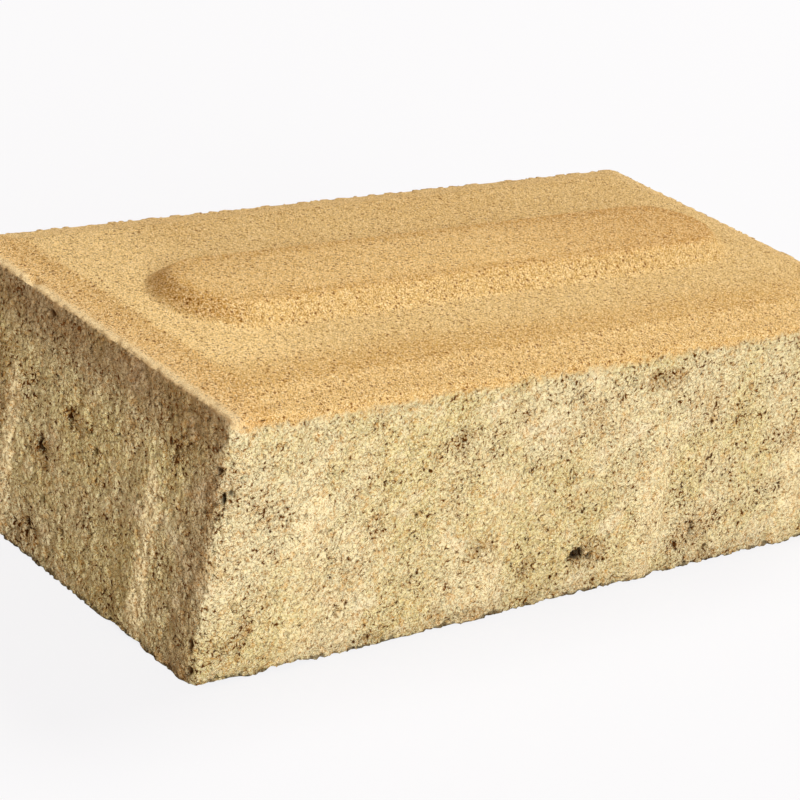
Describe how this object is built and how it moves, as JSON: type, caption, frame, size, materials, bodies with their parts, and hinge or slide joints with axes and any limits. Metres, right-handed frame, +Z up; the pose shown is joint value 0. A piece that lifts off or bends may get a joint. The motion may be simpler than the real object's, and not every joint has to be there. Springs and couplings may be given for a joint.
{
  "type": "tactile paving block",
  "caption": "Pressed concrete paver with a raised round-ended guiding bar on its top, a shallow hollow border round it, rounded corners and low spacer ribs on its sides.",
  "frame": {"origin": "middle of the bed face, on the floor that the block lies on", "axes": "+X along the block's length and its guiding bar, +Y across its width, +Z up"},
  "size_m": [0.2, 0.1, 0.064],
  "materials": {
    "yellow_concrete": "matte, fine sandy face on the top and its border, coarser open grain on the sides"
  },
  "bodies": {
    "root": {"paving_block": "yellow_concrete"}
  },
  "joints": []
}
